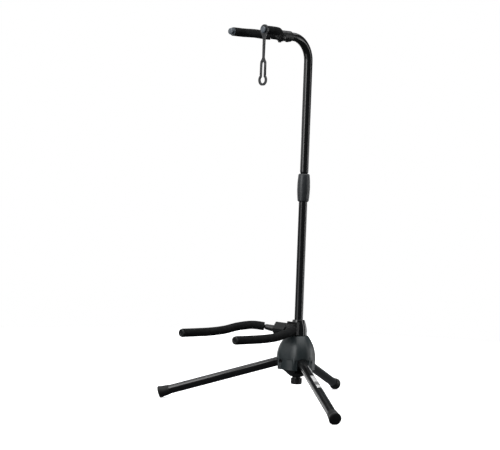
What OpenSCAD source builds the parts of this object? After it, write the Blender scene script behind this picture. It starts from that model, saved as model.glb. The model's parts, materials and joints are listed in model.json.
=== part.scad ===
// Folding tripod stand for a guitar: three legs on a domed hub, a telescopic mast,
// a padded cradle for the body and a padded yoke with a strap for the neck.
// The cradle and the yoke face -Y. The origin is on the floor, in the middle of the footprint.

/* [Placement] */
// Mast axis from the middle of the footprint, along X
mast_x = -18; // [-40:1:40]
// Mast axis from the middle of the footprint, along Y
mast_y = -4; // [-40:1:40]

/* [Mast] */
// Outside diameter of both mast tubes
tube_d = 19; // [18:0.5:20]
// Outside diameter of the necked stretch that slides in the lower tube
slide_d = 16; // [15:0.5:16]
// Height of the middle of the tube that reaches forward at the top
top_z = 804; // [780:1:900]
// Centre-line radius of the bend at the top
bend_r = 50; // [45:1:60]
// Height of the lower end of the clutch
clutch_z = 446.5; // [440:0.5:470]
// Length of the clutch sleeve
clutch_len = 61.5; // [58:0.5:64]

/* [Hub] */
// Radius of the dome at its skirt
dome_r = 40; // [39:0.5:41]
// Radius of the hood over each leg
hood_r = 45.5; // [44.5:0.5:46]
// Height of the lower edge of the skirt
skirt_z = 77.5; // [76:0.5:79]
// Height of the moulded crease where the skirt meets the dome
crease_z = 101; // [100:0.5:102]
// Height of the top of the dome
dome_top_z = 152.2; // [151:0.1:153]
// Radius of the top of the dome
dome_top_r = 21.5; // [21:0.5:23]

/* [Legs] */
// Outside diameter of the leg tubes
leg_d = 20; // [18:0.5:20]
// Distance of a leg's pivot pin from the mast axis
pin_reach = 35; // [34:0.5:36]
// Height of the pivot pins
pin_z = 95.5; // [95:0.5:96]
// Length from the pivot pin to the outer end of a foot
leg_len = 282.6; // [240:0.1:290]
// Slope of an open leg below the horizontal, in degrees
leg_tilt = 17.3; // [17:0.1:17.6]
// Outside diameter of a foot at its outer end
foot_d = 27; // [26:0.5:28]

/* [Cradle] */
// Distance between the middles of the two arm ends
cradle_w = 166; // [160:2:180]
// Reach of the arm ends in front of the mast axis
cradle_reach = 272; // [250:1:280]
// Outside diameter of the foam on the cradle arms
cradle_foam_d = 18.4; // [17:0.2:20]

/* [Neck yoke] */
// Distance between the middles of the two arm ends
yoke_w = 100; // [96:1:108]
// Reach of the arm ends in front of the mast axis
yoke_reach = 192; // [185:1:195]
// Outside diameter of the foam on the yoke arms
yoke_foam_d = 18.8; // [18:0.2:20]

/* [Strap] */
// Distance from the middle of the strap's ring to the middle of its eye
strap_len = 105; // [90:1:120]

/* [Hidden] */
$fn = 64;
wall = 1.2;
gap = 0.3;
running = 0.05;
leg_azimuth = [-138.6, -30, 116.5];
leg_r = leg_d / 2;
tube_r = tube_d / 2;
slide_r = slide_d / 2;
pin_r = 3;
slot_half = leg_r + 0.9;
cheek_half = 19.5;
hood_half = 22.5;
ball_r = 10.6;
socket_r = 13;
web_z = 81.8;
web_top_z = 86;
boss_reach = 26;
boss_azimuth = [-84.3, 43.25, 168.95];
stud_r = 4;
plug_z = 92;
plug_len = 34;
collar_z = 152.5;
collar_top_z = 187;
cradle_pivot = [0, -38, 166];
cradle_pin_half = 17;
cap_len = 4;
// Points of a cradle arm on the +X side: out of its horn, over a hump, then down and forward
arm_points = [[29, -50, 167], [44, -62, 170.2], [61, -84, 172.6], [77, -111, 168.4], [82, -147, 162],
  [cradle_w / 2, -188, 159.6], [cradle_w / 2, -228, 159.6], [cradle_w / 2, cap_len - cradle_reach, 160]];
yoke_fork_y = -88;
yoke_turn = 40;
yoke_turn_r = 36;
yoke_socket = 22;
// Underside of each screw head in the fork: place along Y, height from the tube's middle
yoke_screw_seats = [[-68, -12.8], [-91, -15.2]];
yoke_straight = (yoke_w / 2 - yoke_turn_r * (1 - cos(yoke_turn))) / sin(yoke_turn);
yoke_z = top_z - 1;
yoke_rise = 3.5;
yoke_end = [yoke_w / 2, 9 - yoke_reach, yoke_z + yoke_rise];
arm_rod_r = 4;
clutch_top_z = clutch_z + clutch_len;
lower_top_z = clutch_z + 26;
shoulder_z = clutch_top_z + 0.4;
glide_z = 176;
glide_len = 30;
knob_z = 44;
knob_r = 12.4;

// ---- shared shapes -------------------------------------------------------

// Radius of the circle whose arc drops by dz while it closes in by dr, upright at its start
function arc_radius(dr, dz) = (dr * dr + dz * dz) / (2 * dr);

module at_mast() {
  translate([mast_x, mast_y, 0])
    children();
}

// Pin of leg i at the origin, x along the open leg, y along the pin
module at_leg(i) {
  at_mast()
    rotate([0, 0, leg_azimuth[i]])
      translate([pin_reach, 0, pin_z])
        rotate([0, leg_tilt, 0])
          children();
}

module along_x(x0, x1, r) {
  translate([x0, 0, 0])
    rotate([0, 90, 0])
      cylinder(h = x1 - x0, r = r);
}

module along_y(y0, y1, r) {
  translate([0, y0, 0])
    rotate([-90, 0, 0])
      cylinder(h = y1 - y0, r = r);
}

module tube_z(z0, z1, r_out, r_in) {
  translate([0, 0, z0])
    difference() {
      cylinder(h = z1 - z0, r = r_out);
      translate([0, 0, -1])
        cylinder(h = z1 - z0 + 2, r = r_in);
    }
}

// ---- hub -----------------------------------------------------------------

// Half outline of a shell: upright from z0 to z1, then an arc in to radius r_top at z2
module shell_outline(r, r_top, z0, z1, z2, inset) {
  arc_r = arc_radius(r - r_top, z2 - z1);
  translate([0, z0])
    square([r - inset, z1 - z0]);
  intersection() {
    translate([r - arc_r, z1])
      circle(r = arc_r - inset, $fn = 160);
    translate([0, z1])
      square([r + 1, z2 - z1 - inset]);
  }
}

module dome_form(inset, z0) {
  rotate_extrude($fn = 96)
    shell_outline(dome_r, dome_top_r, z0, crease_z, dome_top_z, inset);
}

// Bulge of the dome over each leg
module hood_form() {
  hood_top_z = 143;
  hood_top_r = 28.4;
  for (a = leg_azimuth)
    intersection() {
      rotate_extrude($fn = 96)
        shell_outline(hood_r, hood_top_r, crease_z, crease_z + 3, hood_top_z, 0);
      rotate([0, 0, a])
        translate([12, -hood_half, crease_z - 1])
          cube([40, 2 * hood_half, 70]);
    }
}

// Solid cheeks beside each leg, a little inside the hood's own radius
module cheeks() {
  cheek_r = 43.5;
  cheek_z = skirt_z + 0.4;
  cheek_top_z = 110;
  for (a = leg_azimuth)
    intersection() {
      rotate([0, 0, a])
        translate([20, -cheek_half, cheek_z])
          cube([30, 2 * cheek_half, 40]);
      translate([0, 0, cheek_z - 1])
        cylinder(h = cheek_top_z - cheek_z + 1, r = cheek_r, $fn = 96);
    }
}

module screw_bosses() {
  intersection() {
    dome_form(1.5, skirt_z);
    for (a = boss_azimuth)
      rotate([0, 0, a])
        translate([boss_reach, 0, web_top_z + gap])
          cylinder(h = 60, r = 4.2);
  }
}

module leg_slots() {
  for (i = [0:2])
    rotate([0, 0, leg_azimuth[i]])
      translate([pin_reach, 0, pin_z]) {
        rotate([0, leg_tilt, 0])
          along_x(-12, 30, slot_half);
        translate([-12, -slot_half, -40])
          cube([40, 2 * slot_half, 40]);
      }
}

// Bores for the pivot screws: a head recess in one cheek, a blind bore in the other
module pivot_bores() {
  for (a = leg_azimuth)
    rotate([0, 0, a])
      translate([pin_reach, 0, pin_z]) {
        along_y(-17.4, 15.2, pin_r + 0.02);
        along_y(15.1, 34, 4.1);
      }
}

module hub_dome() {
  color("#2b2d30")
    at_mast()
      difference() {
        union() {
          difference() {
            union() {
              dome_form(0, skirt_z);
              hood_form();
            }
            dome_form(3, skirt_z - 1);
          }
          cheeks();
          screw_bosses();
        }
        leg_slots();
        pivot_bores();
        translate([0, 0, skirt_z - 1])
          cylinder(h = web_top_z + gap - skirt_z + 1, r = 34.6);
        translate([0, 0, skirt_z - 1])
          cylinder(h = 100, r = tube_r + running);
        for (a = boss_azimuth)
          rotate([0, 0, a])
            translate([boss_reach, 0, web_top_z])
              cylinder(h = 14, r = 1.5);
      }
}

// Inner sleeve that the mast stands in, with a slotted web below it
module hub_socket() {
  web_r = 33;
  color("#17181a")
    at_mast()
      difference() {
        union() {
          translate([0, 0, web_z])
            cylinder(h = web_top_z - web_z, r = web_r);
          translate([0, 0, web_z])
            cylinder(h = dome_top_z - 3.5 - web_z, r = socket_r);
        }
        translate([0, 0, web_top_z])
          cylinder(h = 100, r = tube_r + running);
        translate([0, 0, web_z - 1])
          cylinder(h = 10, r = stud_r + 0.3);
        for (a = leg_azimuth)
          rotate([0, 0, a])
            translate([pin_reach - 12.5, -slot_half - 0.3, web_z - 1])
              cube([30, 2 * slot_half + 0.6, 12]);
        for (a = boss_azimuth)
          rotate([0, 0, a])
            translate([boss_reach, 0, web_z - 1]) {
              cylinder(h = 10, r = 1.7);
              cylinder(h = 3.4, r = 3.4);
            }
      }
}

module hub_screws() {
  color("#8c8f94")
    at_mast()
      for (a = boss_azimuth)
        rotate([0, 0, a])
          translate([boss_reach, 0, web_z + 0.4]) {
            cylinder(h = 2, r = 3.1);
            cylinder(h = 14, r = 1.45);
          }
}

module leg_pivot_screws() {
  color("#1b1c1e")
    at_mast()
      for (a = leg_azimuth)
        rotate([0, 0, a])
          translate([pin_reach, 0, pin_z])
            difference() {
              union() {
                along_y(-17, 15.4, pin_r - 0.03);
                along_y(15.3, 18.2, 3.9);
              }
              along_y(16.8, 18.5, 1.6);
            }
}

// ---- legs ----------------------------------------------------------------

// Nylon end of a leg: a ball with flat sides on the pivot screw, and a spigot inside the tube
module leg_hinge(i) {
  color("#141516")
    at_leg(i)
      difference() {
        union() {
          intersection() {
            translate([-ball_r, -9, -ball_r])
              cube([ball_r + 14, 18, 2 * ball_r]);
            union() {
              sphere(r = ball_r);
              along_x(0, 14, leg_r);
            }
          }
          along_x(13, 45, leg_r - wall - running);
        }
        along_y(-10, 10, pin_r + 0.02);
      }
}

module leg_tube(i) {
  color("#101113")
    at_leg(i)
      difference() {
        along_x(14.2, leg_len - 5, leg_r);
        along_x(13, leg_len, leg_r - wall);
      }
}

// Rubber cap that flares to a slightly domed end, worn flat where it stands
module leg_foot(i) {
  cap_len = 25;
  mouth_r = leg_r + 0.9;
  end_r = foot_d / 2;
  lip = 2;
  color("#0d0d0e")
    difference() {
      at_leg(i)
        translate([leg_len, 0, 0])
          rotate([0, 90, 0])
            rotate_extrude()
              polygon([[0, -4.8], [leg_r, -4.8], [leg_r, -cap_len], [mouth_r - 0.4, -cap_len],
                [mouth_r, -cap_len + 0.8], [end_r - 1.6, -9], [end_r - 0.3, -4.5],
                [end_r, -lip], [end_r - 0.8, -0.5], [end_r - 2.4, 0.3], [7, 1], [0, 1.4]]);
      translate([-500, -500, -50])
        cube([1000, 1000, 50]);
    }
}

// ---- lock under the hub --------------------------------------------------

module lock_cup() {
  color("#0f1011")
    at_mast()
      difference() {
        rotate_extrude()
          polygon([[0, 58.6], [9.5, 58.6], [9.5, 61.5], [14, 61.5], [33, 76.5],
            [34, 78], [34, 81.3], [0, 81.3]]);
        translate([0, 0, 50])
          cylinder(h = 40, r = stud_r + 0.3);
        for (a = leg_azimuth)
          rotate([0, 0, a])
            translate([pin_reach - 13, -slot_half - 0.5, 62.5])
              cube([30, 2 * slot_half + 1, 30]);
      }
}

module lock_knob() {
  flute_count = 14;
  color("#131416")
    at_mast()
      difference() {
        rotate_extrude()
          polygon([[0, knob_z], [knob_r - 2, knob_z], [knob_r - 0.6, knob_z + 0.6],
            [knob_r, knob_z + 2], [knob_r, knob_z + 12.4], [knob_r - 1, knob_z + 13.8],
            [8, knob_z + 14.2], [0, knob_z + 14.2]]);
        translate([0, 0, knob_z + 4])
          cylinder(h = 20, r = stud_r);
        for (k = [0:flute_count - 1])
          rotate([0, 0, k * 360 / flute_count])
            translate([knob_r + 0.9, 0, knob_z - 1])
              cylinder(h = 20, r = 1.5, $fn = 24);
      }
}

module lock_stud() {
  color("#a5a8ac")
    at_mast()
      union() {
        translate([0, 0, knob_z + 4])
          cylinder(h = 74, r = stud_r);
        translate([0, 0, knob_z + 14.2])
          cylinder(h = 0.3, r = 8);
      }
}

// ---- lower mast ----------------------------------------------------------

// Threaded insert in the foot of the lower tube
module mast_plug() {
  color("#b5a26a")
    at_mast()
      tube_z(plug_z, plug_z + plug_len, tube_r - wall, stud_r + running);
}

module lower_tube() {
  color("#101113")
    at_mast()
      tube_z(plug_z - 2, lower_top_z, tube_r, tube_r - wall);
}

module mast_collar() {
  foot_r = 19.4;
  top_r = 12.6;
  color("#0d0e10")
    at_mast()
      difference() {
        rotate_extrude($fn = 96)
          difference() {
            shell_outline(foot_r, top_r, collar_z, collar_z + 2, collar_top_z, 0);
            translate([0, collar_z - 1])
              square([tube_r + 0.02, 60]);
          }
        bracket_screw_axes()
          along_y(-1, 30, 1.55);
      }
}

// ---- cradle --------------------------------------------------------------

// Block on the front of the collar, with a rounded lug for the cradle's pivot
module cradle_bracket() {
  lug_half = 8;
  lug_r = 10;
  wing_half = 15;
  wing_y = -21;
  color("#121315")
    at_mast()
      difference() {
        union() {
          translate([-wing_half, wing_y, collar_z + 1])
            cube([2 * wing_half, -wing_y, 29]);
          translate([-lug_half, cradle_pivot[1], cradle_pivot[2] - lug_r])
            cube([2 * lug_half, -cradle_pivot[1] - 10, 2 * lug_r]);
          translate(cradle_pivot)
            along_x(-lug_half, lug_half, lug_r);
        }
        translate([0, 0, collar_z - 1])
          cylinder(h = 40, r = 19.45, $fn = 96);
        translate(cradle_pivot)
          along_x(-20, 20, 3.02);
        bracket_screw_axes()
          along_y(-1, 30, 1.55);
      }
}

module bracket_screw_axes() {
  for (x = [-12, 12])
    translate([x, -21, 167])
      children();
}

module bracket_screws() {
  color("#8c8f94")
    at_mast()
      bracket_screw_axes()
        difference() {
          union() {
            along_y(-2.4, -0.02, 2.9);
            along_y(-0.1, 10.5, 1.5);
          }
          along_y(-3, -1.2, 1.3);
        }
}

module cradle_pin() {
  color("#9a9da2")
    at_mast()
      translate(cradle_pivot) {
        along_x(-19.6, cradle_pin_half, 3 - 0.03);
        along_x(cradle_pin_half + 0.1, cradle_pin_half + 2.4, 5);
        along_x(cradle_pin_half - 0.1, cradle_pin_half + 0.2, 3 - 0.03);
      }
}

module cradle_pin_nut() {
  color("#8c8f94")
    at_mast()
      translate(cradle_pivot)
        difference() {
          translate([-cradle_pin_half - 0.1, 0, 0])
            rotate([0, -90, 0])
              cylinder(h = 2.4, r = 5, $fn = 6);
          along_x(-25, -10, 3 - 0.03);
        }
}

// Catmull-Rom point on span k of a list of points, at t from 0 to 1
function spline_point(p, k, t) =
  let (a = p[max(k - 1, 0)], b = p[k], c = p[k + 1], d = p[min(k + 2, len(p) - 1)])
  0.5 * (2 * b + (c - a) * t + (2 * a - 5 * b + 4 * c - d) * t * t
    + (3 * b - a - 3 * c + d) * t * t * t);

function arm_path(steps) = [
  for (k = [0:len(arm_points) - 2], s = [0:steps - 1]) spline_point(arm_points, k, s / steps),
  arm_points[len(arm_points) - 1]];

// Point of a yoke arm at distance d from the middle of the fork, level inside its socket
function yoke_root(d) = [d * sin(yoke_turn), yoke_fork_y - d * cos(yoke_turn),
  yoke_z + yoke_rise * smooth(max(0, (d - yoke_socket) / (yoke_straight - yoke_socket)))];

// Yoke arm on the +X side: straight out of its socket, a bend, then forward
function yoke_path() =
  let (bend_y = yoke_fork_y - yoke_straight * cos(yoke_turn) - yoke_turn_r * sin(yoke_turn))
  [yoke_root(yoke_socket), yoke_root((yoke_socket + yoke_straight) / 2),
    for (a = [yoke_turn:-5:0])
      [yoke_w / 2 - yoke_turn_r * (1 - cos(a)), bend_y + yoke_turn_r * sin(a), yoke_z + yoke_rise],
    yoke_end];

function smooth(t) = t * t * (3 - 2 * t);
function unit(v) = v / norm(v);
function heading(p, k) = unit(p[min(k + 1, len(p) - 1)] - p[max(k - 1, 0)]);

// Ring of points around point k of a path
function ring_points(p, k, r, sides) =
  let (t = heading(p, k), side = unit(cross(t, [0, 0, 1])), up = cross(side, t))
  [for (s = [0:sides - 1]) p[k] + r * (cos(s * 360 / sides) * side + sin(s * 360 / sides) * up)];

// Face between side s of two rings whose points start at a and b
function side_face(a, b, s, sides) = [a + s, b + s, b + (s + 1) % sides, a + (s + 1) % sides];

// A bar of round section along a path
module sweep_bar(p, r, sides) {
  rings = len(p);
  polyhedron(
    points = [for (k = [0:rings - 1]) each ring_points(p, k, r, sides)],
    faces = [
      [for (s = [0:sides - 1]) s],
      [for (s = [0:sides - 1]) rings * sides - 1 - s],
      for (k = [0:rings - 2], s = [0:sides - 1]) side_face(k * sides, (k + 1) * sides, s, sides)]);
}

// A round sleeve along a path
module sweep_sleeve(p, r_out, r_in, sides) {
  rings = len(p);
  inner = rings * sides;
  last = (rings - 1) * sides;
  polyhedron(
    points = [for (r = [r_out, r_in], k = [0:rings - 1]) each ring_points(p, k, r, sides)],
    faces = [
      for (k = [0:rings - 2], s = [0:sides - 1]) side_face(k * sides, (k + 1) * sides, s, sides),
      for (k = [0:rings - 2], s = [0:sides - 1])
        side_face(inner + (k + 1) * sides, inner + k * sides, s, sides),
      for (s = [0:sides - 1]) side_face(inner, 0, s, sides),
      for (s = [0:sides - 1]) side_face(last, inner + last, s, sides)]);
}

function part_of(p, k0, k1) = [for (k = [k0:k1]) p[k]];

// Turn that takes the Z axis along v
function aim(v) = [0, acos(v[2] / norm(v)), atan2(v[1], v[0])];

// side is 1 for the +X arm and -1 for the -X arm
module mirrored(side) {
  at_mast()
    mirror([side < 0 ? 1 : 0, 0, 0])
      children();
}

// Clevis around the lug, with a tapered horn out to each arm
module cradle_horns() {
  lug_half = 8;
  cheek_out = 17;
  horn_root = [12, -46, 164.5];
  horn_tip = [42.3, -60.6, 169.7];
  color("#131416")
    at_mast()
      difference() {
        union() {
          translate(cradle_pivot)
            along_x(-cheek_out, cheek_out, 10.5);
          translate([-cheek_out, 0, 0])
            rotate([90, 0, 90])
              linear_extrude(2 * cheek_out)
                polygon([[-38, 155.5], [-38, 176.5], [-45, 177.5], [-50, 182.5], [-54, 182.5],
                  [-64, 169], [-64, 162], [-60, 156.5]]);
          for (side = [0, 1])
            mirror([side, 0, 0])
              translate(horn_root)
                rotate(aim(horn_tip - horn_root))
                  cylinder(h = norm(horn_tip - horn_root), r1 = 9, r2 = 5.6);
        }
        for (side = [0, 1])
          mirror([side, 0, 0])
            translate(cradle_pivot)
              along_x(cheek_out, 30, 5.6);
        translate([-lug_half - gap, cradle_pivot[1] - 11.2, 140])
          cube([2 * lug_half + 2 * gap, 40, 60]);
        translate(cradle_pivot)
          along_x(-20, 20, 3.02);
        for (side = [0, 1])
          mirror([side, 0, 0])
            translate(arm_points[0])
              rotate(aim(arm_points[1] - arm_points[0]))
                translate([0, 0, -1])
                  cylinder(h = 40, r = arm_rod_r + 0.6);
      }
}

module cradle_rod(side) {
  color("#101113")
    mirrored(side)
      sweep_bar(arm_path(5), arm_rod_r, 12);
}

module cradle_pad(side) {
  p = arm_path(4);
  color("#0a0a0a")
    mirrored(side)
      sweep_sleeve(part_of(p, 4, len(p) - 1), cradle_foam_d / 2, arm_rod_r + gap, 20);
}

module cradle_cap(side) {
  color("#3a3d42")
    mirrored(side)
      translate(arm_points[len(arm_points) - 1])
        rotate([90, 0, 0])
          rotate_extrude()
            polygon([[0, gap], [8.4, gap], [8.4, cap_len - 2], [7.6, cap_len - 0.8],
              [4, cap_len - 0.2], [0, cap_len]]);
}

// ---- clutch --------------------------------------------------------------

// Threaded barrel pressed on the top of the lower tube
module clutch_body() {
  color("#1c1d1f")
    at_mast()
      difference() {
        tube_z(clutch_z + 2.3, lower_top_z + 4, 10.9, tube_r + 0.02);
        for (k = [0:4])
          translate([0, 0, lower_top_z - 12 + 3 * k])
            tube_z(0, 1.2, 12, 10.5);
      }
}

// Split ring that grips the upper tube when the sleeve is turned
module clutch_collet() {
  color("#2a2b2d")
    at_mast()
      difference() {
        rotate_extrude()
          polygon([[slide_r + running, lower_top_z + 4.3], [10.6, lower_top_z + 4.3],
            [10.6, lower_top_z + 14], [9.4, clutch_top_z - 9], [slide_r + running, clutch_top_z - 9]]);
        for (a = [0, 90])
          rotate([0, 0, a])
            translate([-15, -0.6, lower_top_z + 10])
              cube([30, 1.2, 30]);
      }
}

// Barrel-shaped grip around the joint of the two tubes
module clutch_sleeve() {
  belly_r = 14.2;
  end_r = 12.1;
  arc_r = arc_radius(belly_r - end_r, clutch_len / 2);
  color("#26282b")
    at_mast()
      difference() {
        rotate_extrude($fn = 96)
          difference() {
            intersection() {
              translate([belly_r - arc_r, clutch_z + clutch_len / 2])
                circle(r = arc_r, $fn = 720);
              polygon([[0, clutch_z], [end_r - 1.6, clutch_z], [end_r, clutch_z + 1.6], [20, clutch_z + 2],
                [20, clutch_top_z - 2], [end_r, clutch_top_z - 1.6], [end_r - 1.6, clutch_top_z],
                [0, clutch_top_z]]);
            }
            translate([0, clutch_z - 1])
              square([slide_r + gap, clutch_len + 2]);
            translate([0, clutch_z - 1])
              square([tube_r + gap, 20]);
            translate([0, clutch_z + 2])
              square([11, clutch_len - 10]);
          }
      }
}

// ---- upper mast ----------------------------------------------------------

// Plastic plug that guides the upper tube inside the lower one
module glide_bush() {
  guide_r = tube_r - wall - running;
  color("#c9c9c4")
    at_mast()
      difference() {
        union() {
          translate([0, 0, glide_z])
            cylinder(h = glide_len, r = guide_r);
          translate([0, 0, glide_z])
            cylinder(h = glide_len + 20, r = slide_r - wall - running);
        }
        translate([0, 0, glide_z - 1])
          cylinder(h = glide_len + 30, r = 4.5);
      }
}

// Outline of the upper tube, thinner all over by shrink
module upper_form(shrink) {
  neck_len = 3;
  straight_top = top_z - bend_r;
  end_y = -80;
  translate([0, 0, glide_z + glide_len + gap])
    cylinder(h = shoulder_z - glide_z - glide_len - gap + 0.01, r = slide_r - shrink);
  translate([0, 0, shoulder_z])
    cylinder(h = neck_len, r1 = slide_r - shrink, r2 = tube_r - shrink);
  translate([0, 0, shoulder_z + neck_len])
    cylinder(h = straight_top - shoulder_z - neck_len, r = tube_r - shrink);
  translate([0, -bend_r, straight_top])
    rotate([90, 0, 90])
      rotate_extrude(angle = 90, $fn = 96)
        translate([bend_r, 0])
          circle(r = tube_r - shrink);
  translate([0, end_y, top_z])
    rotate([-90, 0, 0])
      cylinder(h = -end_y - bend_r, r = tube_r - shrink);
}

module upper_tube() {
  color("#101113")
    at_mast()
      difference() {
        upper_form(0);
        upper_form(wall);
        translate([0, 0, glide_z + glide_len - 1])
          cylinder(h = 3, r = slide_r - wall);
        translate([0, -81, top_z])
          rotate([-90, 0, 0])
            cylinder(h = 3, r = tube_r - wall);
      }
}

// ---- neck yoke -----------------------------------------------------------

// Moulded head on the end of the mast, with a socket for each arm
module yoke_fork() {
  sleeve_r = 11.8;
  color("#191a1c")
    at_mast()
      difference() {
        union() {
          translate([0, 0, top_z])
            along_y(-84, -60, sleeve_r);
          translate([0, yoke_fork_y, yoke_z])
            rotate([90, 0, 0])
              sphere(r = 12.4);
          for (side = [0, 1])
            mirror([side, 0, 0])
              translate([0, yoke_fork_y, yoke_z])
                rotate([90, 0, yoke_turn])
                  cylinder(h = yoke_socket - 1, r1 = 9.5, r2 = 7.6);
        }
        translate([0, 0, top_z])
          along_y(-80, -50, tube_r + 0.02);
        for (side = [0, 1])
          mirror([side, 0, 0])
            translate([0, yoke_fork_y, yoke_z])
              rotate([90, 0, yoke_turn])
                translate([0, 0, 7])
                  cylinder(h = 30, r = arm_rod_r + 0.35);
        for (seat = yoke_screw_seats)
          translate([0, seat[0], top_z - 30]) {
            cylinder(h = 22, r = 1.6);
            cylinder(h = 32.5 + seat[1], r = 3.8);
          }
      }
}

module yoke_screws() {
  head_h = 2.4;
  tip_z = -9.8;
  color("#1b1c1e")
    at_mast()
      for (seat = yoke_screw_seats)
        translate([0, seat[0], top_z + seat[1]])
          difference() {
            union() {
              cylinder(h = head_h, r = 3.6);
              cylinder(h = tip_z - seat[1], r = 1.5);
            }
            translate([0, 0, -1])
              cylinder(h = 2.2, r = 1.4);
          }
}

module yoke_rod(side) {
  color("#101113")
    mirrored(side)
      sweep_bar(concat([yoke_root(9)], yoke_path()), arm_rod_r, 12);
}

module yoke_pad(side) {
  color("#0a0a0a")
    mirrored(side)
      sweep_sleeve(yoke_path(), yoke_foam_d / 2, arm_rod_r + gap, 20);
}

// End knob with a flange against the foam and a groove for the strap
module yoke_cap(side) {
  color("#4a4f57")
    mirrored(side)
      translate([yoke_w / 2, -yoke_reach, yoke_end[2]])
        rotate([-90, 0, 0])
          rotate_extrude()
            polygon([[0, 0], [4.2, 0.2], [6.2, 0.9], [7, 2.2], [7, 3.6], [6.6, 4], [5, 4],
              [5, 7.8], [8.6, 7.8], [8.8, 8], [8.8, 8.6], [0, 8.6]]);
}

// Rubber strap: a ring on the cap's groove, a flat stem and a keyhole loop
module neck_strap() {
  strap_t = 3;
  loop_top = strap_len - 47;
  color("#1a1b1d")
    at_mast()
      translate([yoke_w / 2, -yoke_reach + 4.5 + strap_t, yoke_end[2]])
        rotate([90, 0, 0])
          difference() {
            union() {
              cylinder(h = strap_t, r = 11.4);
              linear_extrude(strap_t)
                polygon([[-8.6, -6], [8.6, -6], [3.2, -18], [2.6, -loop_top - 1], [8, -loop_top - 9],
                  [8.4, -strap_len + 8], [-8.4, -strap_len + 8], [-8, -loop_top - 9],
                  [-2.6, -loop_top - 1], [-3.2, -18]]);
              translate([0, -strap_len, 0])
                cylinder(h = strap_t, r = 12);
            }
            translate([0, 0, -1])
              cylinder(h = strap_t + 2, r = 5.5);
            translate([0, 0, -1])
              linear_extrude(strap_t + 2)
                polygon([[0, -loop_top - 7], [3.6, -loop_top - 12], [3.6, -strap_len], [-3.6, -strap_len],
                  [-3.6, -loop_top - 12]]);
            translate([0, -strap_len, -1])
              cylinder(h = strap_t + 2, r = 7.2);
          }
}

hub_dome();
hub_socket();
hub_screws();
leg_pivot_screws();
leg_hinge(0);  // leg_hinge_1
leg_tube(0);  // leg_tube_1
leg_foot(0);  // leg_foot_1
leg_hinge(1);  // leg_hinge_2
leg_tube(1);  // leg_tube_2
leg_foot(1);  // leg_foot_2
leg_hinge(2);  // leg_hinge_3
leg_tube(2);  // leg_tube_3
leg_foot(2);  // leg_foot_3
lock_cup();
lock_knob();
lock_stud();
mast_plug();
lower_tube();
mast_collar();
cradle_bracket();
bracket_screws();
cradle_pin();
cradle_pin_nut();
cradle_horns();
cradle_rod(-1);  // cradle_rod_left
cradle_rod(1);  // cradle_rod_right
cradle_pad(-1);  // cradle_pad_left
cradle_pad(1);  // cradle_pad_right
cradle_cap(-1);  // cradle_cap_left
cradle_cap(1);  // cradle_cap_right
clutch_body();
clutch_collet();
clutch_sleeve();
glide_bush();
upper_tube();
yoke_fork();
yoke_screws();
yoke_rod(-1);  // yoke_rod_left
yoke_rod(1);  // yoke_rod_right
yoke_pad(-1);  // yoke_pad_left
yoke_pad(1);  // yoke_pad_right
yoke_cap(-1);  // yoke_cap_left
yoke_cap(1);  // yoke_cap_right
neck_strap();
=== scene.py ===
import json
import math

import bmesh
import bpy
from mathutils import Matrix, Vector, noise


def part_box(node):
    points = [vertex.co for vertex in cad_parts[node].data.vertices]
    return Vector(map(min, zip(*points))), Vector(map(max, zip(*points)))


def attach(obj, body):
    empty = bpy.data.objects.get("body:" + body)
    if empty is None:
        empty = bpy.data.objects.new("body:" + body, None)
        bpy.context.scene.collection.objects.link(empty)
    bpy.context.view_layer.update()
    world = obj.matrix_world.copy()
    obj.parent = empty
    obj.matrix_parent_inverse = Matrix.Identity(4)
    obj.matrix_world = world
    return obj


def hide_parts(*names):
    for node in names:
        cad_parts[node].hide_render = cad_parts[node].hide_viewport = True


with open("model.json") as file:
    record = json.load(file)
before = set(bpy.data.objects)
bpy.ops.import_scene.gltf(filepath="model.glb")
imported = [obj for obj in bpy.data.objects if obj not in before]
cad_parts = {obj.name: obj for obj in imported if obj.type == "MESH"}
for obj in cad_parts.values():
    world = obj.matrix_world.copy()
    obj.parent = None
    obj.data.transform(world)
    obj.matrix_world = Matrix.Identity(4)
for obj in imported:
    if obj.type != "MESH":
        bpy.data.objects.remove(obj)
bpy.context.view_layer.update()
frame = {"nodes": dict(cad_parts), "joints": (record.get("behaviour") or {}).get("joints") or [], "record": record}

# Sizes are in millimetres and degrees, measured from the mast's axis and the floor,
# and turned into the frame's metres where a piece is made.
MM = 0.001
LEG_R, LEG_LEN, LEG_TILT = 10, 282.6, 17.3
PIN_REACH, PIN_Z = 35, 95.5
TUBE_R, SLIDE_R, WALL = 9.5, 8, 1.2
TOP_Z, BEND_R = 804, 50
CLUTCH_Z, CLUTCH_TOP_Z = 446.5, 508
SKIRT_Z, CREASE_Z, HOOD_Z, DOME_TOP_Z = 77.5, 101, 104, 152.2
DOME_R, HOOD_R = 40, 45.5
CHEEK_IN, CHEEK_OUT, CHEEK_HALF, CHEEK_TOP_Z = 22, 41.5, 19.5, 108
HEAD_SEAT, HEAD_R = 15.2, 4.1
CUP_WELL_R, CUP_WELL_Z = 34.6, 86.3
COLLAR_R, COLLAR_TOP_R, COLLAR_Z, COLLAR_TOP_Z = 19.4, 12.6, 152.5, 187
SLOT_HALF = 10.9
ROD_R, STUD_R, CRADLE_PIN_R = 4, 4, 3
CLEVIS_HALF, LUG_HALF = 17, 8
CRADLE_PAD_R, YOKE_PAD_R = 9.2, 9.4
ARM_POINTS = [(29, -50, 167), (44, -62, 170.2), (61, -84, 172.6), (77, -111, 168.4),
              (82, -147, 162), (83, -188, 159.6), (83, -228, 159.6), (83, -268, 160)]
HORN_ROOT, HORN_TIP = (12, -46, 164.5), (42.3, -60.6, 169.7)
CRADLE_PIVOT = (0, -38, 166)
YOKE_FORK_Y, YOKE_TURN, YOKE_TURN_R, YOKE_HALF, YOKE_SOCKET = -88, 40, 36, 50, 22
YOKE_Z, YOKE_RISE, YOKE_END_Y, YOKE_REACH = 803, 3.5, -183, 192
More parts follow.
